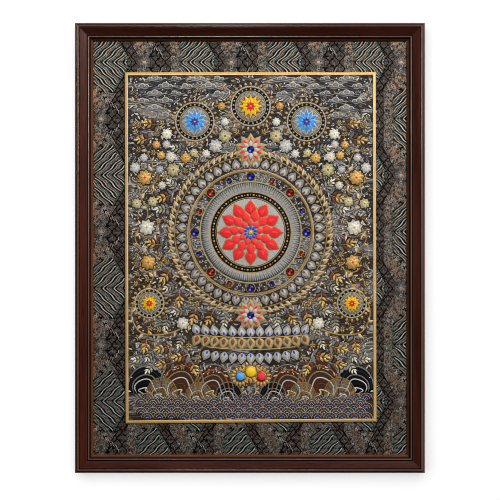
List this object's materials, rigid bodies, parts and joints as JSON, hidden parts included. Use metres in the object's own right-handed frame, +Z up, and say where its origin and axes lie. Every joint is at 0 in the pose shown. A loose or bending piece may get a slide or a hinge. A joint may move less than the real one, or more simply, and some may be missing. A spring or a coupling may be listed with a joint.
{
  "type": "framed thangka textile picture",
  "caption": "Framed thangka: a textile picture inside a gold fillet, on a wide brocade mount, in a dark mitred wooden frame that hangs on a wall.",
  "frame": {"origin": "middle of the top rail's flat back, where the frame lies against the wall", "axes": "+Z up, -Y out of the picture's front, +Y into the wall, +X to the right seen from the front"},
  "size_m": [0.7, 0.025, 0.9],
  "materials": {
    "lacquered_wood": "dark red-brown lacquer, satin, worn a little paler on its beads",
    "stained_slip": "orange-brown stain, satin",
    "gilt_fillet": "muted gold, satin",
    "brocade_cloth": "woven waves and scales in silver-grey, peach and black",
    "picture_weave": "charcoal ground worked in silver, gold, red, blue and yellow",
    "blue_glass": "deep blue glass with a dark foil back, glossy",
    "red_glass": "red glass with a dark foil back, glossy",
    "plain_board": "plain brown hardboard"
  },
  "bodies": {
    "root": {"rail_top": "lacquered_wood", "rail_right": "lacquered_wood", "rail_bottom": "lacquered_wood", "rail_left": "lacquered_wood", "slip_top": "stained_slip", "slip_right": "stained_slip", "slip_bottom": "stained_slip", "slip_left": "stained_slip", "brocade_mount": "brocade_cloth", "picture_cloth": "picture_weave", "fillet_top": "gilt_fillet", "fillet_right": "gilt_fillet", "fillet_bottom": "gilt_fillet", "fillet_left": "gilt_fillet", "backing_board": "plain_board", "bead_large_01": "blue_glass", "bead_large_02": "red_glass", "bead_large_03": "blue_glass", "bead_large_04": "red_glass", "bead_large_05": "blue_glass", "bead_large_06": "red_glass", "bead_large_07": "blue_glass", "bead_large_08": "red_glass", "bead_large_09": "blue_glass", "bead_large_10": "blue_glass", "bead_small_01": "red_glass", "bead_small_02": "blue_glass", "bead_small_03": "red_glass", "bead_small_04": "blue_glass", "bead_small_05": "red_glass", "bead_small_06": "blue_glass", "bead_small_07": "red_glass", "bead_small_08": "blue_glass"}
  },
  "joints": []
}
